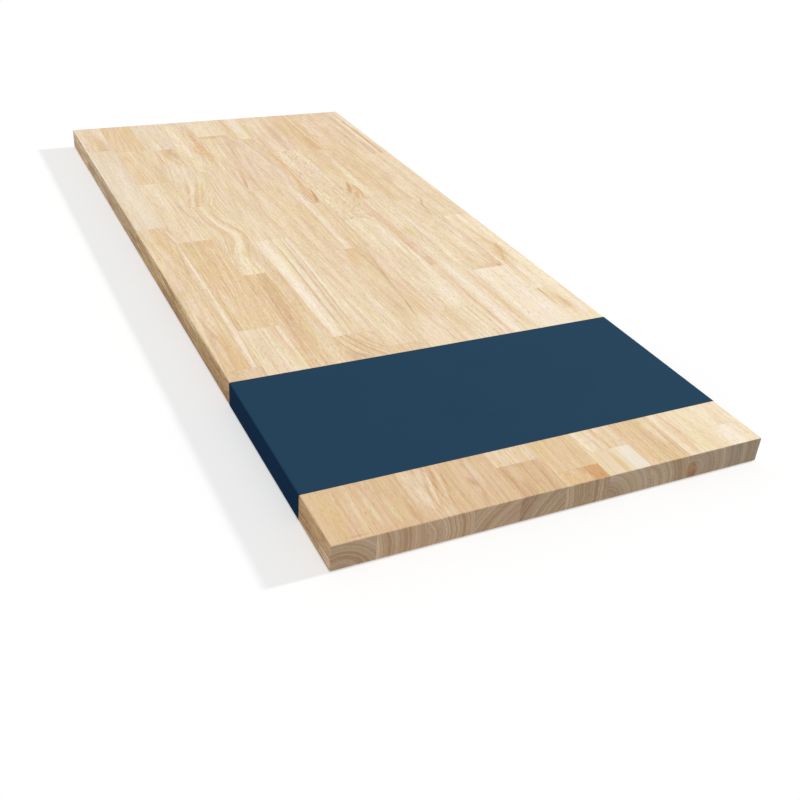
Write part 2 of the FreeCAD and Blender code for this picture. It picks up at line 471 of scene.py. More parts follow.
# %% The stained heart
HEART_TONE = (236, 184, 116)
HEART_CORE = (186, 138, 96)
HEART_TALL = 0.6
HEART_EDGE_SCALE = (60.0, 160.0, 160.0)
HEART_EDGE_M = 0.007
HEART_FADE_M = (-0.004, 0.002)
HEART_AMOUNT = 0.8
CORE_SCALE = (40.0, 110.0, 60.0)
CORE_RANGE = (0.4, 0.6)


def stained(tree, colour, place, off_y, off_z, seed, heart_radius):
    """A colour with the heart of the tree laid over it."""
    from_heart = distance(tree, off_y, times(tree, off_z, HEART_TALL))
    uneven_edge = scaled_noise(tree, place, HEART_EDGE_SCALE, seed)
    from_heart = plus(tree, from_heart, centred(tree, uneven_edge, HEART_EDGE_M))
    heart = ramp(tree, minus(tree, from_heart, heart_radius), *HEART_FADE_M, 1.0, 0.0)
    core = ramp(tree, scaled_noise(tree, place, CORE_SCALE, seed), *CORE_RANGE)
    stain = mix_colour(tree, core, linear(HEART_TONE), linear(HEART_CORE))
    return mix_colour(tree, times(tree, heart, HEART_AMOUNT), colour, stain)


print("a heart fades over", round(1000 * (HEART_FADE_M[1] - HEART_FADE_M[0]), 1), "mm")

# %% [markdown]
# The grain group puts drift, rings and heart together and colours them between a light and a dark
# wood. The sawn ends and the long edges show their rings more strongly than the wide faces, and the
# ends are of more even tone. The group also hands out its drift, so that later marks can bend with
# the grain.

# %% The grain group
DARK_SHARE = 0.42
CLOUD_SCALE = (7.0, 24.0, 24.0)
CLOUD_SHARE = 0.25
END_LIGHT = (248, 226, 194)
END_DARK = (208, 174, 138)
END_EVENED = 0.6
END_LINES = 1.2
END_CONTRAST = 1.2
LONG_EDGE_CONTRAST = 1.8


def build_grain():
    tree, given, out = new_group(
        "sawn_grain",
        [("Pith", "Vector", (0, 0, 0)), ("Lean", "Vector", (0, 0, 0)), ("Seed", "Float", 0.0),
         ("Sway", "Vector", (0, 0, 1)),
         ("Ring Width", "Float", 0.006), ("Bands", "Float", 0.4), ("Rings", "Float", 0.3),
         ("Lines", "Float", 0.4), ("Heart", "Float", 0.0), ("Edge Contrast", "Float", 1.0),
         ("Light", "Color", (0.8, 0.6, 0.4, 1)), ("Dark", "Color", (0.6, 0.4, 0.2, 1)),
         ("Line", "Color", (0.4, 0.2, 0.1, 1))],
        [("Colour", "Color"), ("Drift", "Float")])
    place = object_place(tree)
    x = place[0]
    seed = given["Seed"]
    end, long_edge = facing_masks(tree)
    drift = drift_of(tree, place, seed, given["Sway"])
    off_y, off_z = off_pith(tree, place, drift, given["Pith"], given["Lean"])
    rings = count_rings(tree, distance(tree, off_y, off_z), given["Ring Width"], seed)

    # How dark a point is: its band, its place in the ring and a cloud over all.
    bands = ring_noise(tree, x, rings, seed, BANDS)
    shading = ring_noise(tree, x, rings, seed, SHADING)
    banded = times(tree, minus(tree, bands, 0.5), given["Bands"])
    ringed = times(tree, minus(tree, shading, 0.5), given["Rings"])
    edge_more = times(tree, long_edge, given["Edge Contrast"])
    stronger = plus(tree, times_plus(tree, end, END_CONTRAST, 1.0),
                    times(tree, edge_more, LONG_EDGE_CONTRAST))
    amount = times_plus(tree, plus(tree, banded, ringed), stronger, DARK_SHARE)
    cloud = scaled_noise(tree, place, CLOUD_SCALE, seed)
    amount = plus(tree, amount, centred(tree, cloud, CLOUD_SHARE))

    # The two woods, and the lines over them.
    evened = times(tree, end, END_EVENED)
    light = mix_colour(tree, evened, given["Light"], linear(END_LIGHT))
    dark = mix_colour(tree, evened, given["Dark"], linear(END_DARK))
    colour = mix_colour(tree, amount, light, dark, clamp=False)
    drawn = times(tree, closing_line(tree, x, rings, seed), given["Lines"])
    drawn = times(tree, drawn, times_plus(tree, end, END_LINES, 1.0))
    colour = mix_colour(tree, drawn, colour, given["Line"])
    colour = stained(tree, colour, place, off_y, off_z, seed, given["Heart"])
    link(tree, colour, out["Colour"])
    link(tree, drift, out["Drift"])
    return tree


grain = build_grain()
print("grain group with", len(grain.nodes), "nodes")

# %% [markdown]
# Wood also has marks that follow no rule: a mineral streak, a white strip of sapwood, a knot. The
# mark group lays one long, pointed streak over the colour it is given. It follows the same drift as
# the grain, so it bends with it, its edge is frayed by the fibres, it may be bent to one side, and
# it reaches only some way down into the block. On a sawn end it would show as a spot, so it stops
# short of that. With Edge at one it lies on the board's low Y edge and reaches in from there.

# %% The mark group
MARK_DEPTH_M = 0.016
EDGE_MARK_DEPTH_M = 0.005
FRAY_SCALE = (22.0, 260.0, 260.0)
FRAY_WIDTH = 1.0
MARK_FADE = 1.15
OFF_THE_END = 3.0


def build_mark():
    tree, given, out = new_group(
        "grain_mark",
        [("Colour", "Color", (0.8, 0.6, 0.4, 1)), ("Drift", "Float", 0.0),
         ("Place", "Vector", (0, 0, 0)), ("Half Length", "Float", 0.1),
         ("Half Width", "Float", 0.01), ("Slope", "Float", 0.0), ("Bend", "Float", 0.0),
         ("Edge", "Float", 0.0),
         ("Tint", "Color", (0.6, 0.4, 0.2, 1)), ("Amount", "Float", 0.5)],
        [("Colour", "Color")])
    place = object_place(tree)
    x, y, z = place
    middle_x, middle_y, middle_z = separate(tree, given["Place"])
    on_edge = given["Edge"]

    # How far along the mark, across it and down into the wood, each 1 at its limit.
    along = minus(tree, x, middle_x)
    bent = times_plus(tree, along, given["Bend"], given["Slope"])
    sideways = either(tree, on_edge, minus(tree, y, middle_y), minus(tree, z, middle_z))
    across = minus(tree, sideways, times(tree, along, bent))
    across = plus(tree, across, given["Drift"])
    u = over(tree, along, given["Half Length"])
    v = over(tree, across, given["Half Width"])
    inwards = either(tree, on_edge, minus(tree, board_high.z, z), minus(tree, y, board_low.y))
    down = over(tree, inwards, either(tree, on_edge, MARK_DEPTH_M, EDGE_MARK_DEPTH_M))

    # A pointed shape, frayed, and kept off the sawn ends.
    reach = times_plus(tree, u, u, math_node(tree, "ABSOLUTE", v))
    reach = times_plus(tree, down, down, reach)
    fray = scaled_noise(tree, place, FRAY_SCALE, seed=0.0, detail=3.0, roughness=0.6)
    reach = plus(tree, reach, centred(tree, fray, FRAY_WIDTH))
    reach = times_plus(tree, facing_masks(tree)[0], OFF_THE_END, reach)
    amount = times(tree, ramp(tree, reach, 0.0, MARK_FADE, 1.0, 0.0), given["Amount"])
    link(tree, mix_colour(tree, amount, given["Colour"], given["Tint"]), out["Colour"])
    return tree


mark = build_mark()
print("mark group with", len(mark.nodes), "nodes")

# %% [markdown]
# Fibres and pores run through every tone, so they come over the marks too. Fibres are a noise drawn
# out along the grain and flecks a shorter one. A planed long edge shows streaks and hairs as well.
# The tinge of the wood goes slowly from yellow to pink and back.

# %% The texture of the fibres
# Waves a metre on each axis.
FIBRE_SCALE = (26.0, 290.0, 290.0)
FLECK_SCALE = (1 / 0.008, 1 / 0.0028, 1 / 0.0028)
STREAK_SCALE = (4.0, 130.0, 130.0)
HAIR_SCALE = (6.0, 520.0, 520.0)
TINGE_SCALE = (12.0, 45.0, 45.0)

# The share of each noise in the texture.
FIBRES_SHARE = 1.15
FLECKS_SHARE = 0.9
STREAKS_SHARE = 0.5
HAIRS_SHARE = 2.3
LONG_EDGE_FIBRES = 2.4
LONG_EDGE_LESS_TINGE = -0.6
FIBRE_LIGHT = (1.1, 1.115, 1.155, 1)
FIBRE_DARK = (0.95, 0.912, 0.836, 1)
YELLOW_TINGE = (0.973, 1.034, 0.8, 1)
PINK_TINGE = (1.027, 0.966, 1.18, 1)


def fibre_shade(tree, bent, seed, fibre, edge_more, strength):
    """The shade that fibres and flecks give, and on long edges streaks and hairs."""
    fleck = scaled_noise(tree, bent, FLECK_SCALE, seed, roughness=0.6)
    streak = scaled_noise(tree, bent, STREAK_SCALE, seed)
    hair = scaled_noise(tree, bent, HAIR_SCALE, seed)
    texture = plus(tree, centred(tree, fibre, FIBRES_SHARE), centred(tree, fleck, FLECKS_SHARE))
    lines = plus(tree, centred(tree, streak, STREAKS_SHARE), centred(tree, hair, HAIRS_SHARE))
    texture = times_plus(tree, lines, edge_more, texture)
    stronger = times_plus(tree, edge_more, LONG_EDGE_FIBRES, strength)
    amount = times_plus(tree, texture, stronger, 0.5)
    return mix_colour(tree, amount, FIBRE_LIGHT, FIBRE_DARK, clamp=False)


def tinge_of(tree, bent, seed, long_edge):
    """A slow change between yellow and pink, calmer on the long edges."""
    swing = minus(tree, scaled_noise(tree, bent, TINGE_SCALE, seed, detail=3.0, roughness=0.65), 0.5)
    calmer = times_plus(tree, long_edge, LONG_EDGE_LESS_TINGE, 1.0)
    return mix_colour(tree, times_plus(tree, swing, calmer, 0.5), YELLOW_TINGE, PINK_TINGE)


print("fibres", round(1000 / FIBRE_SCALE[1], 1), "mm apart")

# %% [markdown]
# The film of glue between two blocks is a hair line. Side to side it is straight. End to end it goes
# up and down the fingers on a long edge: each finger is a wedge, so its line is a straight climb
# from the root of one gap to the next tip. Only the distance to that line is needed here.

# %% The film of glue
FINGER_LENGTH = 0.012
FINGER_TIP = 0.001
FINGER_COUNT = 6
FINGER_PITCH = (board_high.z - board_low.z) / FINGER_COUNT
FLANK = FINGER_PITCH / 2 - FINGER_TIP
GLUE_HALF = 0.0006
GLUE_SHOWS = 0.25


def distance_to_glue(tree, place, low, high):
    """How far a point is from the nearest film of glue round its block, in metres."""
    x, y, z = place
    low_x, low_y, _ = separate(tree, low)
    high_x, high_y, _ = separate(tree, high)

    # How far up a finger's flank this height is, and so how far out its line is.
    storey = over(tree, minus(tree, z, board_low.z), FINGER_PITCH)
    climb = times(tree, math_node(tree, "PINGPONG", storey, 0.5), FINGER_PITCH)
    share = over(tree, minus(tree, climb, FINGER_TIP / 2), FLANK)
    held = math_node(tree, "MINIMUM", math_node(tree, "MAXIMUM", share, 0.0), 1.0)
    out_by = times(tree, held, FINGER_LENGTH)
    from_start = minus(tree, minus(tree, x, low_x), out_by)
    from_end = minus(tree, minus(tree, high_x, x), minus(tree, FINGER_LENGTH, out_by))
    to_joint = math_node(tree, "MINIMUM", math_node(tree, "ABSOLUTE", from_start),
                         math_node(tree, "ABSOLUTE", from_end))

    # On a flank the nearest point of the line is square to it, and not level with the point.
    on_flank = times(tree, math_node(tree, "GREATER_THAN", share, 0.0),
                     math_node(tree, "LESS_THAN", share, 1.0))
    square_on = FLANK / math.hypot(FLANK, FINGER_LENGTH)
    to_joint = times(tree, to_joint, either(tree, on_flank, 1.0, square_on))
    to_side = math_node(tree, "MINIMUM", minus(tree, y, low_y), minus(tree, high_y, y))
    return math_node(tree, "MINIMUM", to_joint, to_side)


print(FINGER_COUNT, "fingers,", round(1000 * FINGER_PITCH, 2), "mm apart")

# %% [markdown]
# The sanded surface puts these together. Pores are short brown dashes that turn into dots on a sawn end,
# and they are small pits, so they also lower the surface. The cut end is darker, partly as end grain is
# and partly as painted shade. The long edges get a darker, browner tint, which is painted shade.

# %% The surface group
PORE_SCALE = (1 / 0.011, 1 / 0.0011, 1 / 0.0011)
PORE_RANGE = (0.6, 0.72)
PORE_AMOUNT = 0.5
SANDED_ROUGH = 0.45
FIBRE_ROUGH = 0.14
PORE_ROUGH = 0.15
FIBRE_HEIGHT = 0.4


def build_surface():
    tree, given, out = new_group(
        "sanded_surface",
        [("Colour", "Color", (0.8, 0.6, 0.4, 1)), ("Drift", "Float", 0.0), ("Seed", "Float", 0.0),
         ("Fibres", "Float", 1.0), ("Pores", "Float", 0.5), ("Line", "Color", (0.4, 0.2, 0.1, 1)),
         ("End Tint And Shade", "Color", (0.6, 0.6, 0.6, 1)), ("Edge Tint", "Color", (0.8, 0.6, 0.5, 1)),
         ("Edge Contrast", "Float", 1.0),
         ("Low", "Vector", (0, 0, 0)), ("High", "Vector", (1, 1, 1))],
        [("Colour", "Color"), ("Roughness", "Float"), ("Height", "Float")])
    place = object_place(tree)
    x, y, z = place
    bent = (x, plus(tree, y, given["Drift"]), z)
    seed = given["Seed"]
    end, long_edge = facing_masks(tree)

    # Fibres, tinge and pores, all along the drifting grain.
    fibre = scaled_noise(tree, bent, FIBRE_SCALE, seed, detail=4.0, roughness=0.62)
    edge_more = times(tree, long_edge, given["Edge Contrast"])
    shade = fibre_shade(tree, bent, seed, fibre, edge_more, given["Fibres"])
    colour = mix_colour(tree, 1.0, given["Colour"], shade, "MULTIPLY")
    tinge = tinge_of(tree, bent, seed, long_edge)
    colour = mix_colour(tree, 1.0, colour, tinge, "MULTIPLY")
    pores = ramp(tree, scaled_noise(tree, bent, PORE_SCALE, seed, detail=1.0), *PORE_RANGE)
    pored = times(tree, pores, given["Pores"])
    colour = mix_colour(tree, times(tree, pored, PORE_AMOUNT), colour, given["Line"])

    # The glue, the end darkening that is partly painted shade, and the long edges' painted shade.
    to_glue = distance_to_glue(tree, place, given["Low"], given["High"])
    glue = ramp(tree, to_glue, 0.0, GLUE_HALF, GLUE_SHOWS, 0.0)
    colour = mix_colour(tree, glue, colour, given["Line"])
    colour = mix_colour(tree, end, colour, given["End Tint And Shade"], "MULTIPLY")
    colour = mix_colour(tree, long_edge, colour, given["Edge Tint"], "MULTIPLY")
    link(tree, colour, out["Colour"])
    rough = times_plus(tree, fibre, FIBRE_ROUGH, SANDED_ROUGH)
    link(tree, times_plus(tree, pored, PORE_ROUGH, rough), out["Roughness"])
    link(tree, minus(tree, times(tree, fibre, FIBRE_HEIGHT), pored), out["Height"])
    return tree


surface = build_surface()
print("surface group with", len(surface.nodes), "nodes")

# %% [markdown]
# Such wood is sorted for soundness and not for colour, so cream, honey and tan lie side by side. A
# tone is a pair: the light wood and the dark. A tint is the one colour of a mark.

# %% Tones and tints
TONES = {
    "white": ((253, 241, 221), (242, 223, 195)),
    "cream": ((246, 230, 203), (229, 204, 170)),
    "ivory": ((250, 234, 206), (238, 215, 179)),
    "oat": ((238, 220, 195), (225, 204, 175)),
    "pale": ((243, 225, 195), (224, 197, 160)),
    "honey": ((241, 220, 187), (219, 189, 149)),
    "rose": ((240, 219, 190), (220, 190, 154)),
    "gold": ((239, 215, 178), (217, 184, 141)),
    "tan": ((232, 205, 168), (210, 175, 135)),
    "brown": ((226, 197, 158), (205, 168, 126)),
}
TINTS = {
    "white": (252, 240, 221),
    "chalk": (243, 230, 211),
    "shell": (240, 221, 212),
    "frost": (241, 232, 215),
    "oat": (236, 220, 197),
    "cream": (248, 232, 205),
    "pink": (235, 209, 181),
    "gold": (223, 186, 136),
    "orange": (214, 164, 112),
    "brown": (192, 150, 108),
    "dark": (160, 116, 76),
}
LINE_TONE = (176, 128, 84)
print(len(TONES), "tones and", len(TINTS), "tints")

# %% [markdown]
# A cut says where the pith was, which is under the block for arches and far beside it for stripes.
# That one choice makes most of the difference between two blocks. The smaller tables say what is
# odd about some of them. A block is named in them by its stave and its number in the stave.

# %% Cuts and odd blocks
# Where the pith lies from the block's middle, in mm across and up, and the width of a ring.
CUTS = {
    "flat": (6, -120, 6.0),
    "rift": (-95, -90, 5.5),
    "rift_back": (95, -85, 5.5),
    "quarter": (-190, -30, 5.0),
    "quarter_back": (185, 20, 5.0),
    "heart_left": (-14, -34, 4.8),
    "heart_low": (-34, -26, 4.8),
    "heart_side": (-40, -12, 5.0),
    "heart_spot": (-28, -9, 4.8),
    "upright": (-105, -8, 5.0),
    "upright_near": (-50, -4, 4.8),
    "slanted": (70, -70, 5.0),
    "slanted_far": (120, -80, 5.5),
}

# One block has its fibres aslant, given as the slope of its pith. One still holds the stained heart
# of the tree, given as its radius in metres.
SLANTS = {(4, 4): 0.55}
HEARTS = {(9, 5): 0.01}

# Where a knot once stood beside the block, its grain sways aside: the x of the knot, how far the
# grain is pushed across and how far along it is felt, in mm.
SWAYS = {(3, 2): (-236, -29, 85), (3, 3): (-95, 25, 60)}

# How strong the fibres of some blocks are, and how open their pores, against the others.
FIBRES = {
    (1, 1): 0.85, (1, 2): 0.75, (1, 4): 0.75, (1, 5): 0.85, (2, 3): 0.8, (2, 5): 0.8, (2, 6): 0.85,
    (3, 1): 1.45, (3, 2): 0.9, (3, 3): 0.85, (4, 1): 1.5, (4, 3): 0.9, (4, 5): 0.75, (5, 3): 1.15,
    (5, 6): 1.15, (6, 1): 1.15, (6, 3): 1.1, (6, 5): 0.75, (6, 6): 1.8, (7, 2): 1.45, (7, 3): 0.9,
    (7, 5): 0.5, (8, 2): 1.15, (9, 1): 1.4, (9, 2): 1.3, (9, 3): 1.2, (9, 4): 0.75, (9, 5): 1.15}
OPEN_PORES = {(7, 2): 2.2, (6, 6): 1.5, (7, 5): 0.3, (8, 5): 1.6}
print(len(CUTS), "cuts,", len(FIBRES), "blocks with fibres of their own strength")

# %% [markdown]
# The ends are darker, partly as end grain is and partly as painted shade, some staves more than others.
# The long edges get a darker, browner tint, which is painted shade; the edge at the high Y side stands in
# full light and gets much less of it, so it is paler, and its grain is calmer. The first stave's long
# edge is seen in the photo, so it has marks of its own.

# %% Ends and long edges
# How pale each stave's sawn ends are against the others, and how each block of the first stave is
# on its long edge, in red, green and blue.
END_SHADES = {
    1: 1.04, 2: 1.2, 3: 1.14, 4: 1.07, 5: 0.97, 6: 0.98, 7: 0.96, 8: 0.93, 9: 0.84, 10: 0.69}
EDGE_SHADES = {
    (1, 1): (1.14, 1.14, 1.2), (1, 2): (1.0, 1.0, 0.98), (1, 3): (0.95, 0.91, 0.8),
    (1, 4): (0.98, 0.97, 0.89)}
# The lit stave's long edge has most of the painted shade taken off, and calmer grain.
LIT_STAVE = 10
LIT_EDGE_LESS_PAINTED_SHADE = (1.2, 1.38, 1.85)
LIT_EDGE_CONTRAST = 0.25

# Marks on the long edge, as those on the top below, but the second place is the height. The brown ones
# low on the edge and the white ones high on the first two blocks make it darker towards the floor and
# lighter near the top, partly painted shade and partly the wood's own patches.
EDGE_MARKS_AND_SHADE = {
    (1, 1): [("white", -680, 36, 190, 20, 1.1)],
    (1, 2): [("white", -520, 36, 230, 18, .9), ("brown", -250, 9, 130, 8, .3)],
    (1, 3): [("brown", 50, 5, 170, 16, .9, .02), ("orange", 40, 17, 60, 4, .6, .05)],
    (1, 4): [
        ("brown", 150, 5, 130, 16, .9), ("brown", 310, 5, 120, 14, .8),
        ("orange", 300, 15, 60, 4, .6, .05)],
    (1, 5): [
        ("brown", 375, 6, 50, 13, .7), ("gold", 728, 30, 60, 9, .8), ("shell", 752, 13, 30, 15, 1.1)],
}
print(sum(len(marks) for marks in EDGE_MARKS_AND_SHADE.values()), "marks on the long edge")

# %% [markdown]
# The last table is read off the photo, one entry a block, with its tone, its cut and its marks. A mark is
# a line of a few numbers, so that one can be moved or softened without touching the rest.

# %% Every block
# The blocks go by stave, low Y first, and from the far end to the near end. A mark is its tint, the
# x and y of its middle, its half length and half width in mm, and its strength. Some have a slope
# too, and a few of them a bend, which is how much the slope changes in a metre.
BLOCKS = {
    (1, 1): ("rose", "rift", [
        ("white", -735, -274, 80, 12, .5), ("brown", -612, -277, 70, 18, .3),
        ("chalk", -700, -306, 90, 10, .6)]),
    (1, 2): ("oat", "quarter", [("chalk", -320, -285, 260, 30, .7)]),
    (1, 3): ("honey", "rift_back", [
        ("gold", -110, -287, 100, 18, .5, .05), ("oat", -155, -303, 60, 11, .6),
        ("oat", 100, -303, 40, 11, .5), ("white", 60, -264, 190, 4.5, .8, -.01),
        ("brown", -20, -272, 90, 3, .45, -.08)]),
    (1, 4): ("honey", "rift", [
        ("gold", 335, -291, 110, 24, .8), ("brown", 240, -302, 70, 5, .5, .1),
        ("oat", 150, -303, 45, 10, .5), ("white", 230, -267, 260, 6, .8, -.03)]),
    (1, 5): ("tan", "heart_left", [
        ("pink", 375, -285, 90, 40, .6), ("cream", 690, -265, 70, 10, .3),
        ("gold", 730, -295, 60, 24, .4), ("brown", 706, -279, 90, 3, .35, .02),
        ("brown", 756, -279, 2.5, 19, .6)]),
    (2, 1): ("gold", "rift", [("gold", -650, -206, 150, 12, .5)]),
    (2, 2): ("honey", "rift_back", [
        ("gold", -430, -245, 70, 14, .5), ("gold", -540, -246, 45, 12, .6),
        ("pink", -500, -212, 60, 12, .4)]),
    (2, 3): ("pale", "rift", [
        ("brown", -240, -209, 80, 3, .5, .12, .8), ("white", -330, -240, 130, 20, .5)]),
    (2, 4): ("gold", "quarter_back", [
        ("orange", -76, -212, 26, 12, .45), ("orange", 8, -225, 20, 6, .6),
        ("gold", 30, -246, 60, 13, .5), ("brown", 60, -257, 220, 2.4, .4),
        ("cream", 160, -245, 60, 9, .6)]),
    (2, 5): ("cream", "rift_back", [("pink", 290, -238, 70, 14, .4), ("gold", 320, -207, 120, 9, .5)]),
    (2, 6): ("tan", "upright", [
        ("brown", 690, -247, 60, 4, .45, .06), ("cream", 712, -248, 50, 6, .6),
        ("brown", 746, -202, 34, 7, .5), ("cream", 722, -225, 34, 8, .45)]),
    (3, 1): ("oat", "quarter", [
        ("pink", -660, -152, 110, 12, .8), ("white", -590, -166, 80, 9, .8),
        ("gold", -640, -184, 70, 9, .35)]),
    (3, 2): ("pale", "rift", [
        ("brown", -575, -148, 110, 16, .6, .06, .5), ("gold", -540, -160, 100, 10, .7, .14, .6),
        ("orange", -530, -178, 110, 5, .6, .05, .4), ("oat", -415, -158, 85, 30, .85),
        ("gold", -498, -183, 45, 10, .5), ("gold", -300, -138, 80, 5, .7),
        ("gold", -290, -147, 90, 6, .9), ("brown", -275, -151, 70, 2.6, .5),
        ("cream", -320, -156, 80, 5, .6), ("gold", -320, -164, 80, 5, .8)]),
    (3, 3): ("pale", "rift_back", [
        ("gold", -90, -160, 210, 4.5, .8), ("brown", -120, -164, 110, 2.4, .5),
        ("cream", -90, -176, 210, 8, .9), ("gold", -90, -189, 210, 5, .75),
        ("cream", 20, -175, 100, 18, .6)]),
    (3, 4): ("gold", "rift", [
        ("brown", 140, -164, 170, 14, .4, -.05), ("brown", 190, -177, 260, 4, .45, -.06),
        ("pink", 110, -142, 100, 12, .5), ("cream", 380, -150, 110, 16, .55),
        ("oat", 285, -143, 110, 12, .7)]),
    (3, 5): ("tan", "upright_near", [
        ("oat", 697, -178, 56, 19, .6, -.03), ("chalk", 718, -174, 26, 11, .45, -.03),
        ("oat", 680, -163, 24, 8, .6, -.1), ("brown", 712, -166, 34, 2.2, .6, -.18),
        ("cream", 702, -159, 46, 2.6, .7, -.18), ("brown", 690, -151, 44, 3.4, .5, -.24),
        ("cream", 700, -146, 46, 2.6, .6, -.16), ("brown", 700, -140, 46, 3.4, .55, -.2),
        ("oat", 754, -160, 14, 12, .4, -.1)]),
    (4, 1): ("pale", "rift", [
        ("orange", -570, -76, 170, 14, .75, -.02), ("cream", -600, -114, 220, 16, .6),
        ("gold", -572, -92, 50, 18, .7)]),
    (4, 2): ("pale", "quarter", [
        ("gold", -300, -97, 110, 5, .6, -.13, -.4), ("cream", -140, -108, 120, 20, .4, -.05),
        ("pink", -215, -82, 60, 12, .4)]),
    (4, 3): ("cream", "upright", [
        ("pink", 180, -86, 260, 8, .6, -.03), ("white", 90, -94, 300, 5, .7, -.02),
        ("white", 60, -74, 200, 6, .8, -.02), ("gold", 300, -78, 60, 9, .6),
        ("brown", 110, -101, 330, 2.6, .65, -.02), ("brown", 130, -87, 300, 2.2, .6, -.03),
        ("brown", 120, -78, 330, 2.2, .6, -.03), ("white", 110, -118, 460, 15, .9, -.01)]),
    (4, 4): ("honey", "slanted", [
        ("brown", 345, -98, 75, 3.4, .65, .45, 2.4), ("brown", 338, -82, 60, 3, .65, .45, 2.4),
        ("brown", 350, -108, 60, 2.6, .65, .4, 2.2), ("brown", 356, -119, 50, 3, .65, .35, 2)]),
    (4, 5): ("tan", "slanted", [
        ("pink", 700, -80, 90, 16, .4), ("oat", 694, -96, 38, 9, .6), ("brown", 712, -107, 15, 7, .7, .1),
        ("brown", 748, -108, 24, 6, .4, -.2)]),
    (5, 1): ("cream", "quarter", [("white", -690, -40, 90, 14, .3)]),
    (5, 2): ("rose", "rift_back", [
        ("orange", -645, -36, 20, 50, .6), ("brown", -655, -40, 8, 40, .5),
        ("orange", -355, -51, 50, 4.2, 1, -.16, -.8), ("orange", -415, -44, 50, 3.2, .6, .02),
        ("brown", -560, -18, 110, 4, .35, -.06)]),
    (5, 3): ("honey", "quarter_back", [
        ("gold", -160, -27, 140, 4, .5, .04, .2), ("cream", -180, -50, 140, 14, .6)]),
    (5, 4): ("pale", "quarter", [
        ("gold", 45, -14, 46, 9, .5, -.05), ("gold", 95, -34, 70, 12, .45),
        ("gold", 210, -47, 60, 5, .4, .1, .6), ("cream", 250, -20, 120, 16, .6)]),
    (5, 5): ("honey", "quarter", [
        ("gold", 690, -20, 40, 5, .5), ("oat", 680, -8, 30, 7, .6), ("oat", 680, -45, 30, 10, .6)]),
    (5, 6): ("brown", "slanted_far", [
        ("dark", 735, -12, 120, 2.2, .35, -.05), ("brown", 735, -30, 120, 2.4, .5, -.04),
        ("dark", 735, -46, 120, 2.4, .3, -.03), ("brown", 735, -60, 120, 3, .6),
        ("pink", 714, -45, 34, 8, .7)]),
    (6, 1): ("pale", "quarter", [
        ("white", -700, 38, 170, 15, .7), ("gold", -690, 18, 130, 8, .7),
        ("gold", -690, 57, 130, 5, .6)]),
    (6, 2): ("rose", "rift", [
        ("gold", -430, 57, 270, 11, .7, -.03), ("orange", -420, 60, 240, 5, .45, -.03),
        ("gold", -252, 51, 60, 15, .7), ("brown", -222, 54, 24, 6, .8, -.2),
        ("brown", -250, 60, 52, 3, .9, -.12, -2.6), ("brown", -258, 43, 46, 3, .6, .06, 2.2),
        ("oat", -480, 16, 170, 12, .7), ("white", -225, 30, 120, 9, .9, .02)]),
    (6, 3): ("honey", "quarter", [
        ("white", -90, 25, 300, 6, .75, -.02), ("brown", -120, 17, 140, 3, .35, -.02)]),
    (6, 4): ("honey", "rift", [
        ("gold", 50, 18, 60, 16, .75, -.2, -.8), ("brown", 150, 37, 150, 3, .55, -.09, .1),
        ("dark", 275, 25, 46, 2.6, .65, -.1), ("brown", 250, 11, 120, 9, .3, .02),
        ("cream", 355, 22, 100, 44, .7), ("cream", 120, 54, 120, 10, .5),
        ("cream", 325, 53, 75, 12, .7)]),
    (6, 5): ("gold", "quarter", [("gold", 700, 10, 60, 9, .4)]),
    (6, 6): ("gold", "upright", [
        ("orange", 748, 54, 90, 28, 1.35), ("gold", 748, 12, 60, 14, .8), ("brown", 744, 45, 9, 2, .7),
        ("brown", 754, 55, 7, 2.4, .7), ("brown", 740, 58, 6, 2, .6), ("cream", 750, 38, 9, 2, .6)]),
    (7, 1): ("rose", "rift", [
        ("brown", -600, 104, 130, 9, .35, -.02, .2), ("cream", -690, 78, 110, 12, .6),
        ("cream", -537, 79, 50, 10, .7), ("brown", -640, 113, 110, 9, .35)]),
    (7, 2): ("pale", "quarter_back", [
        ("pink", -340, 95, 170, 20, .6), ("white", -420, 80, 110, 8, .4),
        ("white", -400, 119, 220, 6, .5)]),
    (7, 3): ("cream", "rift_back", [
        ("white", 225, 108, 75, 20, .6, -.05), ("pink", 110, 84, 90, 14, .45),
        ("white", -20, 114, 95, 13, .6)]),
    (7, 4): ("cream", "rift", [
        ("gold", 320, 78, 80, 12, .5), ("brown", 300, 116, 40, 2.4, .5),
        ("gold", 690, 100, 60, 8, .7, .08), ("gold", 690, 113, 50, 10, .5)]),
    (7, 5): ("pale", "heart_low", [("frost", 738, 121, 90, 27, 1.1), ("gold", 745, 96, 40, 7, .8)]),
    (8, 1): ("gold", "rift", [("orange", -545, 166, 80, 24, .45), ("brown", -680, 165, 90, 4, .4, -.1)]),
    (8, 2): ("honey", "flat", [
        ("brown", -330, 179, 150, 3, .4, -.02), ("white", -330, 168, 210, 7, .6, -.03, .1),
        ("gold", -380, 150, 110, 12, .5), ("gold", -298, 185, 90, 10, .7),
        ("gold", -248, 145, 64, 16, .7), ("brown", -266, 140, 34, 7, .9, -.26),
        ("orange", -225, 141, 30, 8, .8, -.34), ("brown", -250, 155, 56, 3, .8, -.02, -2.6),
        ("gold", -208, 151, 18, 5, .7), ("orange", -160, 137, 22, 6, .5, -.1)]),
    (8, 3): ("cream", "quarter", [
        ("orange", -60, 140, 250, 12, .5), ("brown", 10, 134, 190, 3.4, .45),
        ("white", -80, 188, 110, 6, .4), ("gold", -16, 162, 45, 9, .6)]),
    (8, 4): ("cream", "quarter_back", [
        ("white", 270, 159, 320, 12, .8), ("gold", 250, 143, 220, 6, .7, .01),
        ("gold", 250, 183, 160, 10, .5)]),
    (8, 5): ("gold", "heart_side", [
        ("cream", 690, 185, 44, 9, .6), ("brown", 735, 191, 60, 4, .35, -.02),
        ("brown", 700, 170, 90, 2.6, .35, .05), ("gold", 742, 148, 34, 8, .6)]),
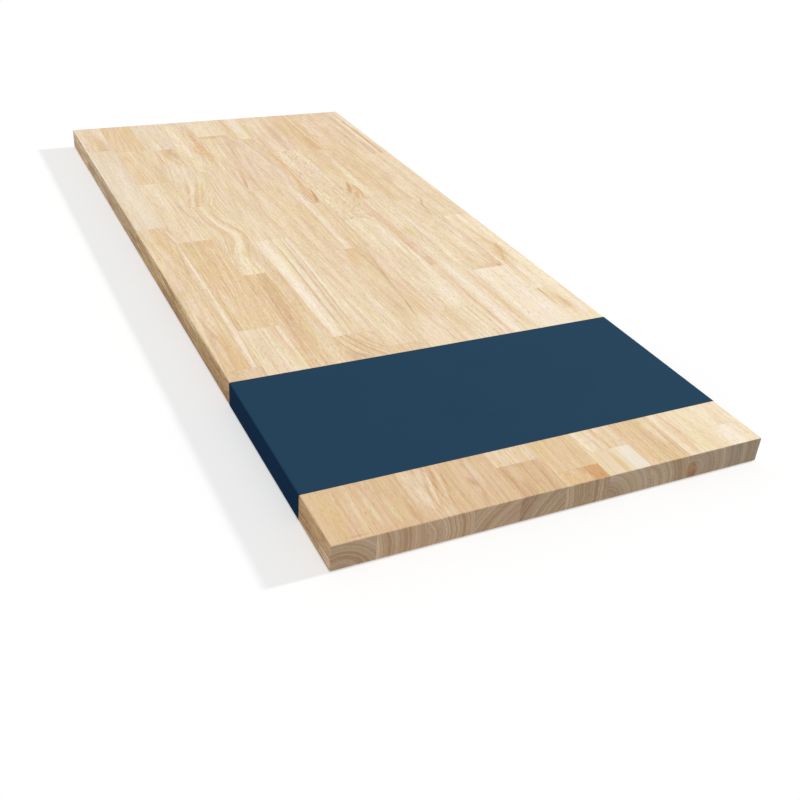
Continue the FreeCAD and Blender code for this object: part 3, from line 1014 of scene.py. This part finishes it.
    (9, 1): ("rose", "rift", [("gold", -620, 228, 110, 13, .7), ("pink", -660, 206, 90, 6, .7)]),
    (9, 2): ("honey", "rift_back", [
        ("gold", -340, 206, 260, 13, .5), ("brown", -300, 213, 150, 3, .4, -.03),
        ("gold", -440, 228, 80, 5, .4, -.05), ("brown", -498, 208, 45, 8, .3),
        ("cream", -232, 247, 75, 12, .8)]),
    (9, 3): ("pale", "rift", [
        ("brown", -152, 252, 32, 3.4, .85, -.32, 3), ("brown", -108, 243, 36, 4, .6, -.1),
        ("cream", 40, 238, 70, 16, .6), ("gold", 160, 240, 20, 60, .45),
        ("gold", 134, 255, 44, 13, .45, -.1), ("brown", 150, 258, 26, 5, .4, -.4),
        ("gold", 110, 214, 80, 5, .5), ("pink", -100, 215, 80, 16, .5)]),
    (9, 4): ("white", "quarter", [("cream", 250, 207, 180, 8, .4), ("white", 342, 247, 60, 13, .9)]),
    (9, 5): ("ivory", "heart_spot", [
        ("brown", 700, 215, 90, 2.8, .4, .06), ("gold", 725, 209, 80, 10, .6),
        ("gold", 738, 246, 60, 14, .35)]),
    (10, 1): ("rose", "quarter", [
        ("cream", -600, 292, 220, 5, .8), ("white", -640, 312, 260, 7, .8),
        ("brown", -560, 300, 210, 4, .75), ("orange", -612, 302, 28, 5, .5),
        ("brown", -650, 283, 120, 4, .6), ("pink", -660, 272, 140, 12, .8),
        ("brown", -490, 279, 70, 4, .5), ("brown", -570, 263, 70, 3, .6, -.03)]),
    (10, 2): ("pale", "rift", [
        ("gold", -200, 305, 180, 4, .4, .02), ("pink", -330, 285, 110, 16, .4),
        ("pink", -412, 302, 55, 14, .8)]),
    (10, 3): ("ivory", "rift_back", [
        ("white", 130, 304, 260, 14, .6), ("gold", 30, 280, 130, 6, .75, .05, .1),
        ("gold", 112, 277, 60, 14, .8, -.22), ("brown", 94, 287, 30, 7, .6, -.1),
        ("brown", 124, 277, 46, 2.6, .5, -.42), ("pink", 60, 268, 160, 9, .6)]),
    (10, 4): ("ivory", "rift", [
        ("gold", 312, 282, 66, 16, .5, .08), ("orange", 324, 286, 34, 7, .5, .05),
        ("brown", 272, 268, 20, 5, .5), ("brown", 290, 268, 50, 4, .45, .02),
        ("white", 290, 303, 120, 9, .7), ("white", 682, 280, 44, 13, .7)]),
    (10, 5): ("ivory", "upright", [("white", 735, 286, 80, 24, 1)]),
}
print(len(BLOCKS), "blocks with", sum(len(marks) for _, _, marks in BLOCKS.values()), "marks")

# %% [markdown]
# No two blocks come from the same place in a tree. The cut says where the pith was, and chance
# moves it a little and lets it lean. A block that reaches the near end has its pith set there, and
# leans less, so that the rings on its sawn end are those of its cut.

# %% Where each block grew
SAME_PLACE_M = 0.001

# How far chance may move a pith: along the block, and across it when it is far off or close by.
PITH_ALONG_M = 0.2
PITH_SPREAD_MM = 12
CLOSE_PITH_MM = 110
CLOSE_SPREAD_MM = 2

# The lean is a slope, and these are the shares of it that a block at the near end keeps.
LEAN_SIDEWAYS = 0.045
LEAN_UP = (0.02, 0.05)
NEAR_SIDEWAYS_SHARE = 0.7
NEAR_UP_SHARE = 1 / 3


def pith_and_lean(chance, place, low, high, cut):
    """Where the pith of a block's tree was, in metres, and how it leaned."""
    middle = (low + high) / 2
    across, up, _ = CUTS[cut]
    spread = CLOSE_SPREAD_MM if math.hypot(across, up) < CLOSE_PITH_MM else PITH_SPREAD_MM
    pith = [middle.x + chance.uniform(-PITH_ALONG_M, PITH_ALONG_M),
            middle.y + (across + chance.uniform(-spread, spread)) / 1000,
            middle.z + (up + chance.uniform(-spread, spread)) / 1000]
    sideways = SLANTS.get(place, chance.uniform(-LEAN_SIDEWAYS, LEAN_SIDEWAYS))
    upwards = chance.choice((-1, 1)) * chance.uniform(*LEAN_UP)
    if high.x > board_high.x - SAME_PLACE_M:
        pith[0] = high.x
        sideways *= NEAR_SIDEWAYS_SHARE
        upwards *= NEAR_UP_SHARE
    return pith, (0, sideways, upwards)


print("chance moves a pith by up to", PITH_SPREAD_MM, "mm")

# %% [markdown]
# The marks go on in the order of the table. Two more small steps prepare a block for its surface: the
# darkening of its end, partly painted shade, and the painted shade of its edge are scaled as the table
# says, and its box is drawn a metre wider where it is the outside of the board, because there is no glue
# there.

# %% Marks, shades and glued sides
MARK_STRENGTH = 0.85


def add_mark(tree, colour, drift, on_edge, one):
    """Lays one mark of the tables over a colour."""
    tint, x, across, half_length, half_width, strength, *curve = one
    slope, bend = (curve + [0.0, 0.0])[:2]
    return group_node(tree, mark, {
        "Colour": colour, "Drift": drift, "Edge": on_edge,
        "Place": (x / 1000, across / 1000, across / 1000),
        "Half Length": half_length / 1000, "Half Width": half_width / 1000,
        "Slope": slope, "Bend": bend,
        "Tint": linear(TINTS[tint]), "Amount": strength * MARK_STRENGTH})["Colour"]


def shaded(tint, shade):
    """A tint times a shade, as a colour for a socket."""
    return [a * b for a, b in zip(tint, shade)] + [1]


def beyond_outside(corner, board_corner, away):
    """The corner of a block, moved a metre out where it is the board's own and has no glue."""
    return [part + away if abs(part - outer) < SAME_PLACE_M else part
            for part, outer in zip(corner, board_corner)]


print("marks at", MARK_STRENGTH, "of their written strength")

# %% [markdown]
# One material a block. The table gives the tone, the cut and the marks, and chance draws the rest
# between limits that keep all of it the same kind of wood. The blocks that end in the near strip
# are calmer. The grain comes first, then the marks, then the surface, and the shader takes what
# comes out: bare sanded wood, nearly matt.

# %% Wood materials
# The ranges that chance draws from.
SEEDS = 100
RING_WIDTHS = (0.85, 1.2)
BAND_STRENGTHS = (0.3, 0.5)
RING_STRENGTHS = (0.35, 0.6)
LINE_STRENGTHS = (0.2, 0.42)
FIBRE_STRENGTHS = (0.8, 1.2)
PORE_STRENGTHS = (0.5, 0.9)

NEAR_STRIP_M = 0.08
NEAR_CALM = 0.75
NO_SWAY = (0, 0, 1000)
NO_HEART = -1.0
# The ends are darkened partly as end grain is and partly as painted shade; the long edges are darkened
# and browned as painted shade.
END_TINT_AND_SHADE = (0.64, 0.61, 0.61)
LONG_EDGE_PAINTED_SHADE = (0.77, 0.645, 0.46)
WOOD_SPECULAR = 0.25
WOOD_BUMP = 0.2
WOOD_BUMP_M = 0.0002


def wood_material(name, place, tone, cut, marks):
    """One block's own material: the grain of that block's tree, its marks and the sanded surface."""
    chance = random.Random(name)
    low, high = (Vector(corner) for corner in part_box(name))
    pith, lean = pith_and_lean(chance, place, low, high, cut)
    seed = chance.uniform(0, SEEDS)
    calm = NEAR_CALM if high.x > board_high.x - NEAR_STRIP_M else 1.0
    lit = place[0] == LIT_STAVE
    edge_contrast = LIT_EDGE_CONTRAST if lit else 1.0
    light, dark = TONES[tone]

    material = bpy.data.materials.new(name)
    material.use_nodes = True
    tree = material.node_tree
    shader = tree.nodes["Principled BSDF"]
    grown = group_node(tree, grain, {
        "Pith": pith, "Lean": lean, "Seed": seed,
        "Sway": [mm / 1000 for mm in SWAYS.get(place, NO_SWAY)],
        "Ring Width": CUTS[cut][2] / 1000 * chance.uniform(*RING_WIDTHS),
        "Bands": calm * chance.uniform(*BAND_STRENGTHS),
        "Rings": calm * chance.uniform(*RING_STRENGTHS),
        "Lines": chance.uniform(*LINE_STRENGTHS),
        "Heart": HEARTS.get(place, NO_HEART), "Edge Contrast": edge_contrast,
        "Light": linear(light), "Dark": linear(dark), "Line": linear(LINE_TONE)})
    colour = grown["Colour"]
    for one in marks:
        colour = add_mark(tree, colour, grown["Drift"], 0.0, one)
    # The edge marks, some of which paint shade towards the floor.
    for one in EDGE_MARKS_AND_SHADE.get(place, []):
        colour = add_mark(tree, colour, grown["Drift"], 1.0, one)
    # Painted shade: the end's darkening in part, the long edge's tint in whole.
    end_shade = END_SHADES[place[0]]
    edge_shade = EDGE_SHADES.get(place, LIT_EDGE_LESS_PAINTED_SHADE if lit else (1, 1, 1))
    sanded = group_node(tree, surface, {
        "Colour": colour, "Drift": grown["Drift"], "Seed": seed,
        "Fibres": calm * chance.uniform(*FIBRE_STRENGTHS) * FIBRES.get(place, 1),
        "Pores": chance.uniform(*PORE_STRENGTHS) * OPEN_PORES.get(place, 1),
        "Line": linear(LINE_TONE), "Edge Contrast": edge_contrast,
        "End Tint And Shade": shaded(END_TINT_AND_SHADE, [end_shade] * 3),
        "Edge Tint": shaded(LONG_EDGE_PAINTED_SHADE, edge_shade),
        "Low": beyond_outside(low, board_low, -1),
        "High": beyond_outside(high, board_high, 1)})
    link(tree, sanded["Colour"], shader.inputs["Base Color"])
    link(tree, sanded["Roughness"], shader.inputs["Roughness"])
    shader.inputs["Specular IOR Level"].default_value = WOOD_SPECULAR
    add_bump(tree, shader, sanded["Height"], WOOD_BUMP, WOOD_BUMP_M)
    return material


for name in blocks:
    _, stave, _, number = name.split("_")
    place = (int(stave), int(number))
    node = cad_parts[name]
    node.data.materials.clear()
    node.data.materials.append(wood_material(name, place, *BLOCKS[place]))
print("wood on", len(blocks), "blocks")

# %% [markdown]
# ## The card sleeve
# It is one sheet of printed card, creased over the board's long edges and glued over itself
# underneath. It is made here as a paper folder would: a box the size of the wrap, its two open
# ends deleted, the long edges rolled over, and then a real card thickness, so its cut edges show.

# %% Sleeve
CARD = sleeve_high.z - board_high.z
WRAP_LOW = Vector((sleeve_low.x, sleeve_low.y, sleeve_low.z + CARD))
FOLD_RADIUS = 0.0024
FOLD_STEPS = 5
FACES_AN_END = 0.5


def select_faces(mesh_object, wanted):
    """Selects, in edit mode, the faces for which wanted(face) is true."""
    mesh = bmesh.from_edit_mesh(mesh_object.data)
    bpy.ops.mesh.select_all(action="DESELECT")
    for face in mesh.faces:
        face.select = wanted(face)
    mesh.select_flush_mode()
    bmesh.update_edit_mesh(mesh_object.data)


def select_edges(mesh_object, wanted):
    """Selects, in edit mode, the edges for which wanted(edge) is true."""
    bpy.ops.mesh.select_mode(type="EDGE")
    mesh = bmesh.from_edit_mesh(mesh_object.data)
    bpy.ops.mesh.select_all(action="DESELECT")
    for edge in mesh.edges:
        edge.select = wanted(edge)
    mesh.select_flush_mode()
    bmesh.update_edit_mesh(mesh_object.data)


size = sleeve_high - WRAP_LOW
bpy.ops.object.select_all(action="DESELECT")
bpy.ops.mesh.primitive_cube_add(size=1, location=WRAP_LOW + size / 2, scale=size)
sleeve = bpy.context.active_object
sleeve.name = "printed_card_sleeve"
bpy.ops.object.transform_apply(location=True, rotation=True, scale=True)
bpy.ops.object.mode_set(mode="EDIT")
select_faces(sleeve, lambda face: abs(face.normal.x) > FACES_AN_END)
bpy.ops.mesh.delete(type="FACE")
select_edges(sleeve, lambda edge: abs(edge.verts[0].co.x - edge.verts[1].co.x) > size.x / 2)
bpy.ops.mesh.bevel(offset=FOLD_RADIUS, segments=FOLD_STEPS, profile=0.5, affect="EDGES")
bpy.ops.mesh.select_all(action="SELECT")
bpy.ops.mesh.normals_make_consistent(inside=False)
bpy.ops.object.mode_set(mode="OBJECT")
wall = sleeve.modifiers.new("card", "SOLIDIFY")
wall.thickness = CARD
wall.offset = -1.0
wall.use_even_offset = True
bpy.ops.object.modifier_apply(modifier="card")
print("sleeve", len(sleeve.data.polygons), "faces,", round(CARD * 1000, 2), "mm card")

# %% [markdown]
# Underneath, one end of the sheet is glued over the other, so a strip there is two cards thick. Two
# bisect cuts mark that strip on the lower face, and an extrude pulls it down by one card.

# %% Glued lap
LAP_HALF = 0.0125
FACES_DOWN = -0.9
SMOOTH_BELOW = math.radians(35)


def is_lower_face(face):
    """The sleeve's own underside, outside and not the inner face above it."""
    return face.normal.z < FACES_DOWN and face.calc_center_median().z < WRAP_LOW.z + CARD / 2


bpy.ops.object.mode_set(mode="EDIT")
for side in (-LAP_HALF, LAP_HALF):
    select_faces(sleeve, is_lower_face)
    bpy.ops.mesh.bisect(plane_co=(0, side, 0), plane_no=(0, 1, 0))
select_faces(sleeve, lambda face: is_lower_face(face) and abs(face.calc_center_median().y) < LAP_HALF)
bpy.ops.mesh.extrude_region_move(TRANSFORM_OT_translate={"value": (0, 0, -CARD)})
bpy.ops.object.mode_set(mode="OBJECT")
bpy.ops.object.shade_smooth_by_angle(angle=SMOOTH_BELOW)
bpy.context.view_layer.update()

# %% [markdown]
# The card is printed all over in one dark blue, so its finish is quiet: a soft change of tone where the
# ink lies thicker and a little tooth from the card's own fibres. Its long sides are painted a deeper
# blue, which is painted shade. It carries no lettering.

# %% Sleeve finish
NAVY = (40, 70, 93)
DEEP_SHARE = 0.92
FLAP_PAINTED_SHADE = (0.33, 0.53, 0.75, 1)
CARD_CLOUD_SCALE = (9, 9, 9)
CARD_FIBRE_SCALE = (900, 900, 900)
CARD_ROUGH = 0.7
CARD_FIBRE_ROUGH = 0.12
CARD_SPECULAR = 0.01
CARD_BUMP = 0.1
CARD_BUMP_M = 0.0001


def card_material():
    material = bpy.data.materials.new("navy_card")
    material.use_nodes = True
    tree = material.node_tree
    shader = tree.nodes["Principled BSDF"]
    place = object_place(tree)
    fibres = scaled_noise(tree, place, CARD_FIBRE_SCALE, seed=0.0, detail=3.0, roughness=0.6)
    cloud = scaled_noise(tree, place, CARD_CLOUD_SCALE, seed=0.0)
    navy = linear(NAVY)
    deep = [part * DEEP_SHARE for part in navy[:3]] + [1]
    colour = mix_colour(tree, cloud, deep, navy)
    # The long sides are painted a deeper blue: painted shade.
    colour = mix_colour(tree, facing_masks(tree)[1], colour, FLAP_PAINTED_SHADE, "MULTIPLY")
    link(tree, colour, shader.inputs["Base Color"])
    rough = times_plus(tree, fibres, CARD_FIBRE_ROUGH, CARD_ROUGH)
    link(tree, rough, shader.inputs["Roughness"])
    shader.inputs["Specular IOR Level"].default_value = CARD_SPECULAR
    add_bump(tree, shader, fibres, CARD_BUMP, CARD_BUMP_M)
    return material


sleeve.data.materials.append(card_material())
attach(sleeve, "root")
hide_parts("card_sleeve")
print("sleeve finished")
